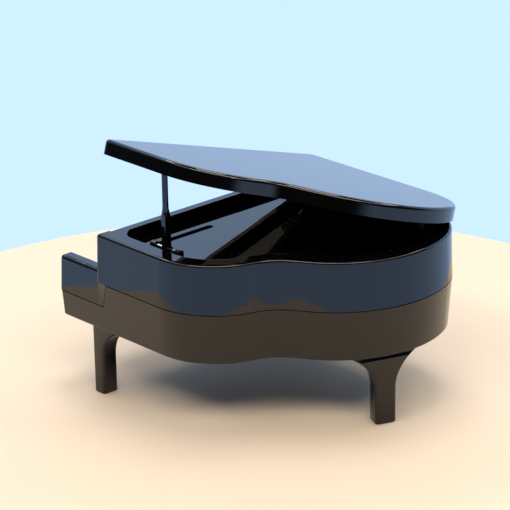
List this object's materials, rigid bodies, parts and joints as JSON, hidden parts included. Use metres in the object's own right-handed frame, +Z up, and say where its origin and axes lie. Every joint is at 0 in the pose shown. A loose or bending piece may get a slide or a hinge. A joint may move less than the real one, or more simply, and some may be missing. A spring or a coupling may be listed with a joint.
{
  "type": "miniature grand piano",
  "caption": "Glossy black moulded miniature grand piano with a propped hinged lid over a shallow tray, three bracket legs and a wind-up movement inside.",
  "frame": {"origin": "on the ground under the middle of the whole piano, lid propped open", "axes": "+X to the treble side, +Y from the keys to the tail, +Z up"},
  "size_m": [0.0906, 0.0986, 0.0829],
  "materials": {
    "black_plastic": "high-gloss moulded black ABS",
    "white_plastic": "gloss white moulded keys",
    "sharps_plastic": "gloss black moulded keys",
    "steel": "bright steel",
    "zinc": "die-cast zinc",
    "brass": "polished brass",
    "nylon": "natural nylon"
  },
  "bodies": {
    "case": {"lower_shell": "black_plastic", "upper_shell": "black_plastic", "white_keys": "white_plastic", "black_keys": "sharps_plastic", "leg_front_treble": "black_plastic", "leg_front_bass": "black_plastic", "leg_tail": "black_plastic", "case_screws": "steel", "movement_base": "zinc", "music_comb": "steel", "comb_screws": "steel", "movement_screws": "steel", "prop_pin": "steel"},
    "lid": {"lid": "black_plastic", "hinge_pins": "steel"},
    "prop": {"prop_stick": "black_plastic"},
    "winder": {"winding_arbor": "steel", "winding_key": "brass"},
    "barrel": {"spring_barrel": "steel", "barrel_cover": "nylon", "mainspring": "steel"},
    "cylinder": {"tune_cylinder": "brass"},
    "governor": {"governor_wheel": "nylon"},
    "fan": {"air_fan": "nylon"}
  },
  "joints": [
    {"name": "lid_hinge", "type": "hinge", "parent": "case", "child": "lid", "pos_m": [-0.04324, -0.02924, 0.0552], "axis": [0, -1, 0], "range_deg": [0, 70]},
    {"name": "prop_fold", "type": "hinge", "parent": "case", "child": "prop", "pos_m": [0.03316, -0.00994, 0.0508], "axis": [0, -1, 0], "range_deg": [0, 90]},
    {"name": "key_wind", "type": "hinge", "parent": "case", "child": "winder", "pos_m": [-0.01774, -0.00024, 0.03], "axis": [0, 0, 1], "continuous": true},
    {"name": "cylinder_turn", "type": "hinge", "parent": "case", "child": "cylinder", "pos_m": [0.00026, -0.00024, 0.0347], "axis": [1, 0, 0], "continuous": true},
    {"name": "barrel_turn", "type": "hinge", "parent": "case", "child": "barrel", "pos_m": [-0.01774, -0.00024, 0.03], "axis": [0, 0, 1], "continuous": true},
    {"name": "governor_turn", "type": "hinge", "parent": "case", "child": "governor", "pos_m": [0.00026, -0.00944, 0.0319], "axis": [1, 0, 0], "continuous": true},
    {"name": "fan_turn", "type": "hinge", "parent": "case", "child": "fan", "pos_m": [0.00026, -0.01334, 0.037], "axis": [1, 0, 0], "continuous": true}
  ],
  "couplings": [
    {"joint": "barrel_turn", "follows": "cylinder_turn", "ratio": -0.25},
    {"joint": "governor_turn", "follows": "cylinder_turn", "ratio": -5},
    {"joint": "fan_turn", "follows": "cylinder_turn", "ratio": 15}
  ]
}
